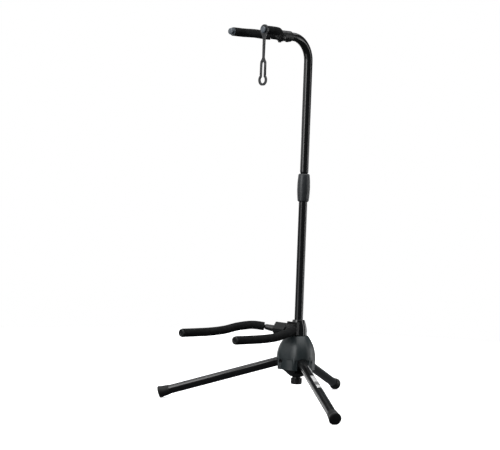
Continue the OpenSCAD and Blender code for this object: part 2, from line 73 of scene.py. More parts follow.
YOKE_SCREW_SEATS = [(-68, -12.8), (-91, -15.2)]
STRAP_LEN, STRAP_T, STRAP_LOOP = 105, 3, 47

JOINTS = {joint["name"]: joint for joint in frame["joints"]}
NODES = frame["nodes"]
tube_low, tube_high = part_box("lower_tube")
MAST = Matrix.Translation(((tube_low.x + tube_high.x) / 2, (tube_low.y + tube_high.y) / 2, 0))


# ---- geometry helpers ----------------------------------------------------

def place_leg(number):
    """Frame of leg 1, 2 or 3: its pivot pin at the origin, X out along the open leg."""
    pin = Vector(JOINTS[f"leg_{number}_fold"]["pos_m"])
    out = pin - MAST.translation
    azimuth = Matrix.Rotation(math.atan2(out.y, out.x), 4, "Z")
    return Matrix.Translation(pin) @ azimuth @ Matrix.Rotation(math.radians(LEG_TILT), 4, "Y")


def leg_angle(number):
    """Direction of leg 1, 2 or 3 seen from above, in radians."""
    out = Vector(JOINTS[f"leg_{number}_fold"]["pos_m"]) - MAST.translation
    return math.atan2(out.y, out.x)


def new_piece(name, vertices, faces):
    mesh = bpy.data.meshes.new(name)
    mesh.from_pydata([tuple(v) for v in vertices], [], faces)
    mesh.validate()
    piece = bpy.data.objects.new(name, mesh)
    bpy.context.scene.collection.objects.link(piece)
    clean = bmesh.new()
    clean.from_mesh(mesh)
    bmesh.ops.remove_doubles(clean, verts=clean.verts, dist=1e-7)
    bmesh.ops.recalc_face_normals(clean, faces=clean.faces)
    clean.to_mesh(mesh)
    clean.free()
    mesh.shade_smooth()
    return piece


def smooth_step(t):
    t = min(max(t, 0), 1)
    return t * t * (3 - 2 * t)


def rounded(outline, radius, steps=4, loop=True):
    """The outline with each corner turned into a short curve."""
    count, result = len(outline), []
    for k in range(count):
        here = Vector(outline[k])
        if not loop and k in (0, count - 1):
            result.append(here)
            continue
        before, after = Vector(outline[k - 1]) - here, Vector(outline[(k + 1) % count]) - here
        reach = min(radius, 0.45 * before.length, 0.45 * after.length)
        start, end = here + before.normalized() * reach, here + after.normalized() * reach
        for s in range(steps + 1):
            t = s / steps
            result.append(start * (1 - t) ** 2 + here * 2 * t * (1 - t) + end * t * t)
    return [tuple(p) for p in result]


def dense(outline, step):
    """The outline with points added so that none are further apart than step."""
    result = []
    ends = outline[1:] + ([] if outline[0][0] < 1e-6 else outline[:1])
    for a, b in zip(outline, ends):
        a, b = Vector(a), Vector(b)
        count = max(1, math.ceil((b - a).length / step))
        result += [tuple(a + (b - a) * k / count) for k in range(count)]
    return result if len(ends) == len(outline) else result + [outline[-1]]


class Route:
    """A line through points in millimetres, with a frame at any distance along it."""

    def __init__(self, points):
        self.points = [Vector(p) for p in points]
        self.lengths = [0.0]
        for a, b in zip(self.points, self.points[1:]):
            self.lengths.append(self.lengths[-1] + (b - a).length)
        tangents = [self.heading(k) for k in range(len(self.points))]
        side = tangents[0].cross(Vector((0, 0, 1)))
        side = side.normalized() if side.length > 1e-3 else Vector((1, 0, 0))
        self.frames = []
        for tangent in tangents:
            side = (side - tangent * side.dot(tangent)).normalized()
            self.frames.append((tangent, side, tangent.cross(side)))

    def heading(self, k):
        last = len(self.points) - 1
        return (self.points[min(k + 1, last)] - self.points[max(k - 1, 0)]).normalized()

    def at(self, s):
        """Point, tangent, side and up at distance s; straight on past either end."""
        k = 0
        while k < len(self.lengths) - 2 and self.lengths[k + 1] < s:
            k += 1
        span = self.lengths[k + 1] - self.lengths[k]
        t = (s - self.lengths[k]) / span
        origin = self.points[k] + (self.points[k + 1] - self.points[k]) * t
        t = min(max(t, 0), 1)
        tangent, side, up = (a.lerp(b, t) for a, b in zip(self.frames[k], self.frames[k + 1]))
        if s < 0:
            origin = self.points[0] + self.frames[0][0] * s
        if s > self.lengths[-1]:
            origin = self.points[-1] + self.frames[-1][0] * (s - self.lengths[-1])
        return origin, tangent.normalized(), side.normalized(), up.normalized()


UPRIGHT = Route([(0, 0, 0), (0, 0, 1000)])
LEVEL = Route([(0, 0, 0), (1000, 0, 0)])


def turned(name, outline, place=MAST, route=UPRIGHT, sides=96, shape=None):
    """A turned solid, bent along a route: the outline's points are (radius, distance).
    Where it starts on the axis it ends there too, and else it runs round in a loop."""
    vertices, faces, rings = [], [], []
    for radius, s in outline:
        origin, _, side, up = route.at(s)
        if radius < 1e-6:
            rings.append([len(vertices)])
            vertices.append(place @ (origin * MM))
            continue
        rings.append(list(range(len(vertices), len(vertices) + sides)))
        for k in range(sides):
            a = 2 * math.pi * k / sides
            r = shape(a, radius, s) if shape else radius
            vertices.append(place @ ((origin + (side * math.cos(a) + up * math.sin(a)) * r) * MM))
    pairs = list(zip(rings, rings[1:]))
    if len(rings[0]) > 1:
        pairs.append((rings[-1], rings[0]))
    for a, b in pairs:
        for k in range(sides):
            n = (k + 1) % sides
            if len(a) == 1:
                faces.append((a[0], b[k], b[n]))
            elif len(b) == 1:
                faces.append((a[k], b[0], a[n]))
            else:
                faces.append((a[k], b[k], b[n], a[n]))
    return new_piece(name, vertices, faces)


def extruded(name, outline, x0, x1, place=MAST):
    """A plate between x0 and x1 whose outline is given as (y, z)."""
    count = len(outline)
    vertices = [place @ (Vector((x, y, z)) * MM) for x in (x0, x1) for y, z in outline]
    faces = [tuple(range(count)), tuple(range(2 * count - 1, count - 1, -1))]
    faces += [(k, (k + 1) % count, count + (k + 1) % count, count + k) for k in range(count)]
    return new_piece(name, vertices, faces)


def block(name, low, high, place=MAST):
    (x0, y0, z0), (x1, y1, z1) = low, high
    return extruded(name, [(y0, z0), (y1, z0), (y1, z1), (y0, z1)], x0, x1, place)


def bake(piece):
    """Applies a piece's modifiers."""
    bpy.context.view_layer.update()
    depsgraph = bpy.context.evaluated_depsgraph_get()
    mesh = bpy.data.meshes.new_from_object(piece.evaluated_get(depsgraph))
    piece.modifiers.clear()
    piece.data = mesh
    mesh.shade_smooth()
    return piece


def combine(piece, others, operation):
    for other in others:
        change = piece.modifiers.new(operation.lower(), "BOOLEAN")
        change.operation, change.object, change.solver = operation, other, "EXACT"
        bake(piece)
        bpy.data.objects.remove(other)
    return piece


def moulded(piece, others, voxel, passes):
    """One moulded body out of several solids, with its inner corners run together."""
    meshes = bmesh.new()
    for part in [piece, *others]:
        meshes.from_mesh(part.data)
    meshes.to_mesh(piece.data)
    meshes.free()
    for other in others:
        bpy.data.objects.remove(other)
    fuse = piece.modifiers.new("fuse", "REMESH")
    fuse.mode, fuse.voxel_size = "VOXEL", voxel * MM
    soften = piece.modifiers.new("soften", "SMOOTH")
    soften.factor, soften.iterations = 0.5, passes
    return bake(piece)


def soft_edges(piece, width, angle=35):
    """Small rounded edges, with shading that keeps the faces between them flat."""
    bevel = piece.modifiers.new("bevel", "BEVEL")
    bevel.width, bevel.segments, bevel.limit_method = width * MM, 3, "ANGLE"
    bevel.angle_limit = math.radians(angle)
    piece.modifiers.new("normals", "WEIGHTED_NORMAL")
    return bake(piece)


def ready(piece, body, slot_name, *nodes):
    """Puts a finished piece on its body, in place of the CAD nodes that it stands for."""
    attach(piece, body)
    if nodes:
        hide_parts(*nodes)
    piece.data.materials.clear()
    piece.data.materials.append(MATERIALS[slot_name])
    return piece


# ---- materials -----------------------------------------------------------

def make_material(name, dark, light, roughness, patch, grain, depth, cells=False, wear=0.0,
                  metallic=0.0, specular=0.5, roughness_spread=0.05):
    """Colour between dark and light in patches of the size patch (mm), and a surface grain of
    the size grain (mm) and depth (mm). Edges are rubbed lighter by wear."""
    material = bpy.data.materials.new(name)
    material.use_nodes = True
    nodes, links = material.node_tree.nodes, material.node_tree.links
    shader = nodes["Principled BSDF"]
    place = nodes.new("ShaderNodeTexCoord")
    clouds = nodes.new("ShaderNodeTexNoise")
    clouds.inputs["Scale"].default_value = 1 / (patch * MM)
    clouds.inputs["Detail"].default_value = 4
    links.new(place.outputs["Object"], clouds.inputs["Vector"])
    tint = nodes.new("ShaderNodeValToRGB")
    tint.color_ramp.elements[0].position, tint.color_ramp.elements[1].position = 0.35, 0.65
    tint.color_ramp.elements[0].color = (*dark, 1)
    tint.color_ramp.elements[1].color = (*light, 1)
    links.new(clouds.outputs["Fac"], tint.inputs["Fac"])
    colour = tint.outputs["Color"]
    if wear:
        edges = nodes.new("ShaderNodeNewGeometry")
        rubbed = nodes.new("ShaderNodeValToRGB")
        rubbed.color_ramp.elements[0].position, rubbed.color_ramp.elements[1].position = 0.52, 0.6
        links.new(edges.outputs["Pointiness"], rubbed.inputs["Fac"])
        amount = nodes.new("ShaderNodeMath")
        amount.operation = "MULTIPLY"
        amount.inputs[1].default_value = wear
        links.new(rubbed.outputs["Color"], amount.inputs[0])
        mix = nodes.new("ShaderNodeMix")
        mix.data_type = "RGBA"
        mix.inputs[7].default_value = (*[min(1, 3 * c + 0.04) for c in light], 1)
        links.new(amount.outputs[0], mix.inputs[0])
        links.new(colour, mix.inputs[6])
        colour = mix.outputs[2]
    links.new(colour, shader.inputs["Base Color"])
    dull = nodes.new("ShaderNodeMapRange")
    dull.inputs["To Min"].default_value = max(0.02, roughness - roughness_spread)
    dull.inputs["To Max"].default_value = min(1, roughness + roughness_spread)
    links.new(clouds.outputs["Fac"], dull.inputs["Value"])
    links.new(dull.outputs["Result"], shader.inputs["Roughness"])
    if cells:
        fine = nodes.new("ShaderNodeTexVoronoi")
        height = fine.outputs["Distance"]
    else:
        fine = nodes.new("ShaderNodeTexNoise")
        fine.inputs["Detail"].default_value = 3
        height = fine.outputs["Fac"]
    fine.inputs["Scale"].default_value = 1 / (grain * MM)
    links.new(place.outputs["Object"], fine.inputs["Vector"])
    bump = nodes.new("ShaderNodeBump")
    bump.inputs["Strength"].default_value = 1
    bump.inputs["Distance"].default_value = depth * MM
    links.new(height, bump.inputs["Height"])
    links.new(bump.outputs["Normal"], shader.inputs["Normal"])
    shader.inputs["Metallic"].default_value = metallic
    shader.inputs["Specular IOR Level"].default_value = specular
    return material


def grey(level, blue=0.0):
    return (level, level * (1 + blue / 2), level * (1 + blue))


MATERIALS = {
    "gloss_black_tube": make_material("gloss_black_tube", grey(0.004), grey(0.007, 0.2), 0.16, 60, 2.5,
                                      0.0008, specular=0.42, wear=0.05),
    "gloss_black_collar": make_material("gloss_black_collar", grey(0.004), grey(0.006, 0.2), 0.12, 25, 2.5,
                                        0.0006, specular=0.45, wear=0.05),
    "dome_plastic": make_material("dome_plastic", (0.016, 0.022, 0.024), (0.022, 0.029, 0.031), 0.4, 16,
                                  0.4, 0.008, specular=0.42, wear=0.12),
    "black_plastic": make_material("black_plastic", grey(0.005), grey(0.008, 0.2), 0.34, 14, 0.5,
                                   0.006, specular=0.28, wear=0.1),
    "clutch_plastic": make_material("clutch_plastic", grey(0.018, 0.2), grey(0.024, 0.22), 0.4, 14, 0.4,
                                    0.008, specular=0.42, wear=0.12),
    "grey_plastic": make_material("grey_plastic", grey(0.05, 0.45), grey(0.068, 0.45), 0.34, 9, 0.5,
                                  0.006, specular=0.5, wear=0.15),
    "glide_plastic": make_material("glide_plastic", grey(0.5), grey(0.58), 0.45, 10, 0.5, 0.01),
    "foam": make_material("foam", grey(0.007), grey(0.0125, 0.1), 0.9, 7, 0.6, 0.09, cells=True,
                          specular=0.08),
    "rubber": make_material("rubber", grey(0.004), grey(0.008), 0.55, 11, 0.7, 0.012, specular=0.25,
                            wear=0.08),
    "strap_rubber": make_material("strap_rubber", grey(0.006, 0.2), grey(0.010, 0.25), 0.26, 9, 0.8,
                                  0.004, specular=0.36, wear=0.1),
    "screw_black": make_material("screw_black", grey(0.006), grey(0.012), 0.35, 3, 0.5, 0.003,
                                 metallic=0.4, wear=0.2),
    "zinc_steel": make_material("zinc_steel", grey(0.38), grey(0.5, 0.04), 0.34, 3, 0.5, 0.003,
                                metallic=1.0, wear=0.2),
    "brass": make_material("brass", (0.5, 0.36, 0.14), (0.62, 0.46, 0.2), 0.35, 4, 0.5, 0.003,
                           metallic=1.0),
    "label": make_material("label", grey(0.5), grey(0.58), 0.35, 6, 0.8, 0.002),
    "label_band": make_material("label_band", grey(0.12), grey(0.16), 0.35, 6, 0.8, 0.002),
    "floor": make_material("floor", grey(0.86), grey(0.9), 0.9, 400, 3, 0.02),
}
# The floor glows a little, so that it shows as white as the background
glow = MATERIALS["floor"].node_tree.nodes["Principled BSDF"].inputs
glow["Emission Color"].default_value, glow["Emission Strength"].default_value = (1, 1, 1, 1), 0.55


# ---- hub -----------------------------------------------------------------

def arc_in(r, r_top, z1, z2, z):
    """Radius at height z of an arc that leaves radius r upright at z1 and reaches r_top at z2."""
    across, up = r - r_top, z2 - z1
    arc = (across ** 2 + up ** 2) / (2 * across)
    return r - arc + math.sqrt(max(arc ** 2 - (z - z1) ** 2, 0))


def dome_radius(angle, z):
    """Outer radius of the dome: a hood over each leg above the crease, cheeks below it."""
    away = min(abs(math.remainder(angle - leg_angle(n), 2 * math.pi)) for n in (1, 2, 3))
    if z < CREASE_Z:
        return DOME_R + 3.5 * smooth_step((math.radians(29.5) - away) / math.radians(3))
    plain = arc_in(DOME_R, 21.5, CREASE_Z, DOME_TOP_Z, z)
    hood = HOOD_R if z < HOOD_Z else arc_in(HOOD_R, 22.5, HOOD_Z, DOME_TOP_Z, z)
    share = smooth_step((math.radians(52) - away) / math.radians(40))
    return plain + (hood - plain) * share


# Radius given to an outline point that the dome's own form sets
OUTSIDE = 99


def dome_shell():
    outer = [SKIRT_Z, 78.2, 80, 84, 88, 92, 96, 99, 100.4, 100.9, 101, 101.4, 102.5]
    outer += [HOOD_Z + 1.5 * k for k in range(32)] + [151.4]
    outline = [(38.6, SKIRT_Z)] + [(OUTSIDE, z) for z in outer]
    outline += [(20.8, DOME_TOP_Z), (10, DOME_TOP_Z), (10, 149.2)]
    inner = [149.2 - 3 * k for k in range(16)] + [CREASE_Z, SKIRT_Z]
    outline += [(arc_in(37, 18.5, CREASE_Z, 149.6, z) if z > CREASE_Z else 37, z) for z in inner]

    def outer_skin(angle, radius, z):
        return dome_radius(angle, z) if radius == OUTSIDE else radius

    return turned("hub_dome_shell", outline, sides=240, shape=outer_skin)


def make_dome():
    """Dome with a cheek on each side of a leg, cut for the legs, their screws and the cup."""
    dome = dome_shell()
    cheeks, cutters = [], []
    for n in (1, 2, 3):
        turn = MAST @ Matrix.Rotation(leg_angle(n), 4, "Z")
        cheeks.append(block(f"cheek_{n}", (CHEEK_IN, -CHEEK_HALF, SKIRT_Z + 0.5),
                            (CHEEK_OUT, CHEEK_HALF, CHEEK_TOP_Z), turn))
        place = place_leg(n)
        cutters.append(turned(f"arch_{n}", [(0, -12), (SLOT_HALF, -12), (SLOT_HALF, 30), (0, 30)],
                              place, LEVEL, 64))
        cutters.append(block(f"slot_{n}", (PIN_REACH - 12, -SLOT_HALF, 50),
                             (PIN_REACH + 30, SLOT_HALF, PIN_Z), turn))
        across = place_leg(n) @ Matrix.Rotation(math.radians(90), 4, "Z")
        cutters.append(turned(f"recess_{n}", [(0, HEAD_SEAT), (HEAD_R, HEAD_SEAT), (HEAD_R, 34), (0, 34)],
                              across, LEVEL, 40))
    cutters.append(turned("cup_well", [(0, SKIRT_Z - 1), (CUP_WELL_R, SKIRT_Z - 1),
                                       (CUP_WELL_R, CUP_WELL_Z), (0, CUP_WELL_Z)]))
    combine(dome, cheeks, "UNION")
    combine(dome, cutters, "DIFFERENCE")
    return dome


def make_cup():
    """Black cone under the dome, slotted for the legs and bored for the stud."""
    cup = turned("lock_cup_shell", rounded([(0, 58.6), (9.5, 58.6), (9.5, 61.5), (14, 61.5), (33, 76.5),
                                            (34, 78), (34, 81.3), (0, 81.3)], 0.6, loop=False))
    bore = STUD_R + 0.3
    slots = [turned("stud_bore", [(0, 50), (bore, 50), (bore, 90), (0, 90)])]
    for n in (1, 2, 3):
        turn = MAST @ Matrix.Rotation(leg_angle(n), 4, "Z")
        half = SLOT_HALF + 0.5
        slots.append(block(f"cup_slot_{n}", (PIN_REACH - 13, -half, 62.5),
                           (PIN_REACH + 17, half, 92.5), turn))
    combine(cup, slots, "DIFFERENCE")
    return soft_edges(cup, 0.5)


def make_knob():
    """Turning knob with fourteen shallow flutes and rounded edges."""
    flutes = 14

    def fluted(angle, radius, z):
        across = max(math.cos(angle * flutes), 0) ** 2
        along = smooth_step((z - 44.6) / 1.6) * smooth_step((57.4 - z) / 1.6)
        return radius - 0.75 * across * along * smooth_step((radius - 10) / 1.5)

    outline = rounded([(0, 44), (10.6, 44), (12.4, 45.8), (12.4, 56.6), (10.8, 58.2), (0, 58.2)], 1.6,
                      6, loop=False)
    return turned("lock_knob_shell", dense(outline, 0.8), sides=16 * flutes, shape=fluted)


def hub_pieces():
    ready(make_dome(), "tripod_hub", "dome_plastic", "hub_dome")
    ready(make_cup(), "lock_cup", "black_plastic", "lock_cup")
    ready(make_knob(), "lock_knob", "black_plastic", "lock_knob")


# ---- legs ----------------------------------------------------------------

def make_foot(number):
    """Rubber cap with a beaded mouth, flared to a domed sole that is worn flat where it stands."""
    outline = [(0, -4.8), (9.9, -4.8), (LEG_R, -25), (11, -25), (11.1, -23.6), (10.85, -23), (11.4, -19),
               (12.1, -9), (13.1, -5.5), (13.5, -2.4), (12.9, -0.7), (11.2, 0.2), (7, 0.9), (0, 1.4)]
    outline = dense(rounded(outline, 0.7, 3, loop=False), 0.9)
    foot = turned(f"leg_foot_{number}_cap", [(r, LEG_LEN + s) for r, s in outline], place_leg(number),
                  LEVEL, 128)
    for vertex in foot.data.vertices:
        vertex.co.z = max(vertex.co.z, 0)
    return foot


def make_label(piece_name, number, start, end, lift, half):
    """A plain label wrapped over the top of a leg, with no lettering. It spans half degrees on
    each side of its middle, which lies toward degrees off the top."""
    toward = 12
    sides, rows = 24, 12
    place = place_leg(number)
    vertices, faces = [], []
    for rise in (lift, 0.01):
        for row in range(rows + 1):
            for k in range(sides + 1):
                a = math.radians(toward - half + 2 * half * k / sides)
                r = LEG_R + rise
                x = start + (end - start) * row / rows
                vertices.append(place @ (Vector((x, math.sin(a) * r, math.cos(a) * r)) * MM))
    width, under = sides + 1, (rows + 1) * (sides + 1)
    for row in range(rows):
        for k in range(sides):
            a = row * width + k
            faces.append((a, a + 1, a + width + 1, a + width))
            faces.append((under + a + width, under + a + width + 1, under + a + 1, under + a))
    edge = [k for k in range(sides)] + [row * width + sides for row in range(rows)]
    edge += [rows * width + k for k in range(sides, 0, -1)] + [row * width for row in range(rows, 0, -1)]
    for a, b in zip(edge, edge[1:] + edge[:1]):
        faces.append((b, a, under + a, under + b))
    return new_piece(piece_name, vertices, faces)


def leg_pieces(number):
    body = f"leg_{number}"
    start, end = 14.2, LEG_LEN - 5
    outline = [(LEG_R, start), (LEG_R, end), (LEG_R - WALL, end), (LEG_R - WALL, start)]
    tube = turned(f"leg_tube_{number}_shell", dense(rounded(outline, 0.4), 20), place_leg(number), LEVEL)
    ready(tube, body, "gloss_black_tube", f"leg_tube_{number}")
    ready(make_foot(number), body, "rubber", f"leg_foot_{number}")


def label_pieces():
    sticker = make_label("leg_label", 2, 90, 150, 0.1, 36)
    ready(sticker, "leg_2", "grey_plastic")
    sticker.data.materials[0] = MATERIALS["label"]
    band = make_label("leg_label_band", 2, 120, 136, 0.14, 35.2)
    ready(band, "leg_2", "grey_plastic")
    band.data.materials[0] = MATERIALS["label_band"]


# ---- mast ----------------------------------------------------------------

def make_collar():
    outline = [(TUBE_R + 0.02, COLLAR_Z), (COLLAR_R, COLLAR_Z), (COLLAR_R, COLLAR_Z + 2)]
    outline += [(arc_in(COLLAR_R, COLLAR_TOP_R, COLLAR_Z + 2, COLLAR_TOP_Z, z), z)
                for z in [COLLAR_Z + 3 + 2.5 * k for k in range(13)]]
    outline += [(COLLAR_TOP_R, COLLAR_TOP_Z), (TUBE_R + 0.02, COLLAR_TOP_Z)]
    return turned("mast_collar_shell", rounded(outline, 0.8, 5), sides=128)


def make_sleeve():
    """Barrel-shaped grip of the clutch, with a chamfer at each end."""
    middle, belly = (CLUTCH_Z + CLUTCH_TOP_Z) / 2, 14.2
    rows = [CLUTCH_Z + 2.2 + k * (CLUTCH_TOP_Z - CLUTCH_Z - 4.4) / 28 for k in range(29)]
    barrel = []
    for z in rows:
        radius = 2 * arc_in(belly, 13.15, middle, CLUTCH_TOP_Z, middle + abs(z - middle)) - belly
        barrel.append((radius, z))
    outline = [(9.8, CLUTCH_Z), (10.6, CLUTCH_Z)] + barrel + [(10.6, CLUTCH_TOP_Z), (8.3, CLUTCH_TOP_Z)]
    outline += [(8.3, CLUTCH_TOP_Z - 8), (11, CLUTCH_TOP_Z - 8), (11, CLUTCH_Z + 2), (9.8, CLUTCH_Z + 2)]
    return turned("clutch_sleeve_shell", rounded(outline, 1.1, 4), sides=128)


def bent_route():
    """Middle of the upper tube: up the mast, round the bend and forward."""
    points = [(0, 0, 206.3), (0, 0, TOP_Z - BEND_R)]
    for k in range(1, 33):
        a = math.radians(90 * k / 32)
        points.append((0, BEND_R * (math.cos(a) - 1), TOP_Z - BEND_R + BEND_R * math.sin(a)))
    return Route(points + [(0, -80, TOP_Z)])


def make_upper_tube():
    route = bent_route()
    shoulder, neck, end = 302.1, 3, route.lengths[-1]
    outline = [(SLIDE_R, 0), (SLIDE_R, shoulder), (TUBE_R, shoulder + neck), (TUBE_R, end)]
    outline += [(r - WALL, s) for r, s in reversed(outline)]
    return turned("upper_tube_shell", dense(rounded(outline, 0.4), 2.5), MAST, route, 96)


def mast_pieces():
    start, end = 90, 472.5
    outline = [(TUBE_R, start), (TUBE_R, end), (TUBE_R - WALL, end), (TUBE_R - WALL, start)]
    lower = turned("lower_tube_shell", dense(rounded(outline, 0.4), 30))
    ready(lower, "lower_mast", "gloss_black_tube", "lower_tube")
    ready(make_collar(), "lower_mast", "gloss_black_collar", "mast_collar")
    ready(make_sleeve(), "clutch_sleeve", "clutch_plastic", "clutch_sleeve")
    ready(make_upper_tube(), "upper_mast", "gloss_black_tube", "upper_tube")


# ---- cradle --------------------------------------------------------------

def spline(points, steps):
    """Catmull-Rom line through points."""
    p, line = [Vector(q) for q in points], []
    for k in range(len(p) - 1):
        a, b, c, d = p[max(k - 1, 0)], p[k], p[k + 1], p[min(k + 2, len(p) - 1)]
        for s in range(steps):
            t = s / steps
            line.append(0.5 * (2 * b + (c - a) * t + (2 * a - 5 * b + 4 * c - d) * t * t
                               + (3 * b - a - 3 * c + d) * t ** 3))
    return line + [p[-1]]


def mirror_point(point, side):
    return (point[0] * side, point[1], point[2])


def foam_skin(seed):
    """Small unevenness of cut foam, as a change of radius."""
    def skin(angle, radius, s):
        spot = Vector((math.cos(angle) * radius, math.sin(angle) * radius, s))
        slow = noise.noise(spot / 11 + Vector((seed, 0, 0)))
        fine = noise.noise(spot / 2.2 + Vector((0, seed, 0)))
        return radius + 0.14 * slow + 0.05 * fine if radius > ROD_R + 1 else radius
    return skin


def make_pad(name, route, start, radius, seed):
    end = route.lengths[-1]
    outline = [(radius - 0.1, start), (radius - 0.1, end), (ROD_R + 0.3, end), (ROD_R + 0.3, start)]
    return turned(name, dense(rounded(outline, 1.0, 4), 1.6), MAST, route, 72, foam_skin(seed))


def make_dished_cap(name, side):
    """End cap with a raised rim around a shallow dish."""
    ahead = MAST @ Matrix.Translation(Vector(mirror_point(ARM_POINTS[-1], side)) * MM)
    outline = [(0, 2.2), (4.9, 2.2), (5.8, 3.7), (7.2, 3.9), (8.4, 2.9), (8.4, 0.3), (0, 0.3)]
    route = Route([(0, 0, 0), (0, -1000, 0)])
    return turned(name, rounded(outline, 0.6, 4, loop=False), ahead, route, 72)


def lean(start, end):
    """Frame at start with its X axis towards end."""
    along = Vector(end) - Vector(start)
    return Matrix.Translation(Vector(start) * MM) @ along.to_track_quat("X", "Z").to_matrix().to_4x4()


def make_bracket():
    """Block on the front of the collar, with the rounded lug of the cradle's pivot."""
    _, y, z = CRADLE_PIVOT
    bracket = block("cradle_bracket_shell", (-15, -21, COLLAR_Z + 1), (15, -2, COLLAR_Z + 30))
    lug = block("lug", (-LUG_HALF, y, z - 10), (LUG_HALF, -12, z + 10))
    barrel = turned("barrel", [(0, -LUG_HALF), (10, -LUG_HALF), (10, LUG_HALF), (0, LUG_HALF)],
                    MAST @ Matrix.Translation(Vector(CRADLE_PIVOT) * MM), LEVEL)
    moulded(bracket, [lug, barrel], 0.55, 6)
    well_r = COLLAR_R + 0.05
    well = turned("well", [(0, 140), (well_r, 140), (well_r, 200), (0, 200)])
    return combine(bracket, [well], "DIFFERENCE")


def make_horns():
    """Clevis around the lug with a tapered horn out to each arm, and seats for the pin's ends."""
    pivot = MAST @ Matrix.Translation(Vector(CRADLE_PIVOT) * MM)
    knuckle = [(0, -CLEVIS_HALF), (10.5, -CLEVIS_HALF), (10.5, CLEVIS_HALF), (0, CLEVIS_HALF)]
    horns = turned("cradle_horns_shell", knuckle, pivot, LEVEL)
    cheek = [(-38, 155.5), (-38, 176.5), (-45, 177.5), (-50, 182.5), (-54, 182.5), (-64, 169),
             (-64, 162), (-60, 156.5)]
    parts = [extruded("cheeks", cheek, -CLEVIS_HALF, CLEVIS_HALF)]
    for side in (1, -1):
        root, tip = mirror_point(HORN_ROOT, side), mirror_point(HORN_TIP, side)
        length = (Vector(tip) - Vector(root)).length
        parts.append(turned(f"horn_{side}", [(0, 0), (9, 0), (5.6, length), (0, length)],
                            MAST @ lean(root, tip), LEVEL))
    moulded(horns, parts, 0.55, 6)
    slot_half = LUG_HALF + 0.3
    cutters = [block("slot", (-slot_half, CRADLE_PIVOT[1] - 11.2, 140), (slot_half, 0, 200))]
    bore = CRADLE_PIN_R + 0.05
    cutters.append(turned("pin_bore", [(0, -20), (bore, -20), (bore, 20), (0, 20)], pivot, LEVEL, 40))
    for side in (1, -1):
        near, far = CLEVIS_HALF * side, 30 * side
        cutters.append(turned(f"pin_seat_{side}", [(0, near), (5.6, near), (5.6, far), (0, far)], pivot,
                              LEVEL, 40))
    return combine(horns, cutters, "DIFFERENCE")


def cradle_pieces():
    ready(make_bracket(), "lower_mast", "black_plastic", "cradle_bracket")
    ready(make_horns(), "cradle", "black_plastic", "cradle_horns")
    for side, word in ((1, "right"), (-1, "left")):
        route = Route(spline([mirror_point(p, side) for p in ARM_POINTS], 16))
        start = route.lengths[16]
        pad = make_pad(f"cradle_foam_{word}", route, start, CRADLE_PAD_R, 3 + side)
        ready(pad, "cradle", "foam", f"cradle_pad_{word}")
        ready(make_dished_cap(f"cradle_end_{word}", side), "cradle", "black_plastic", f"cradle_cap_{word}")


# ---- neck yoke -----------------------------------------------------------

def yoke_route(side):
    """Middle of a yoke arm: straight out of its socket, round a bend, then forward."""
    turn = math.radians(YOKE_TURN)
    straight = (YOKE_HALF - YOKE_TURN_R * (1 - math.cos(turn))) / math.sin(turn)
    bend_y = YOKE_FORK_Y - straight * math.cos(turn) - YOKE_TURN_R * math.sin(turn)
    points = []
    for k in range(13):
        d = straight * k / 13
        rise = YOKE_RISE * smooth_step((d - YOKE_SOCKET) / (straight - YOKE_SOCKET))
        points.append((d * math.sin(turn), YOKE_FORK_Y - d * math.cos(turn), YOKE_Z + rise))
    for k in range(17):
        a = turn * (1 - k / 16)
        points.append((YOKE_HALF - YOKE_TURN_R * (1 - math.cos(a)), bend_y + YOKE_TURN_R * math.sin(a),
                       YOKE_Z + YOKE_RISE))
    points.append((YOKE_HALF, YOKE_END_Y, YOKE_Z + YOKE_RISE))
    return Route([mirror_point(p, side) for p in points])


def make_fork():
    """Moulded head on the end of the mast, with a socket for each arm."""
    back = Route([(0, 0, TOP_Z), (0, -1000, TOP_Z)])
    sleeve_r, ball_r = 11.8, 12.4
    fork = turned("yoke_fork_shell", [(0, 60), (sleeve_r, 60), (sleeve_r, 84), (0, 84)], MAST, back)
    turns = [math.radians(a) for a in range(0, 181, 9)]
    ball = [(ball_r * math.sin(a), -ball_r * math.cos(a)) for a in turns]
    parts = [turned("ball", ball, MAST @ Matrix.Translation(Vector((0, YOKE_FORK_Y, YOKE_Z)) * MM))]
    sockets = []
    for side in (1, -1):
        turn = math.radians(YOKE_TURN) * side
        along = Vector((math.sin(turn), -math.cos(turn), 0))
        root = Vector((0, YOKE_FORK_Y, YOKE_Z))
        place = MAST @ lean(root, root + along)
        parts.append(turned(f"socket_{side}", [(0, 0), (9.5, 0), (7.6, 21), (0, 21)], place, LEVEL))
        bore = ROD_R + 0.35
        sockets.append(turned(f"bore_{side}", [(0, 12), (bore, 12), (bore, 40), (0, 40)], place, LEVEL, 48))
    moulded(fork, parts, 0.5, 5)
    for y, z in YOKE_SCREW_SEATS:
        seat = MAST @ Matrix.Translation(Vector((0, y, TOP_Z + z)) * MM)
        sockets.append(turned(f"seat_{-y}", [(0, -8), (3.8, -8), (3.8, 2.5), (0, 2.5)], seat))
    bore = TUBE_R + 0.02
    sockets.append(turned("tube_bore", [(0, 40), (bore, 40), (bore, 80), (0, 80)], MAST, back))
    return combine(fork, sockets, "DIFFERENCE")


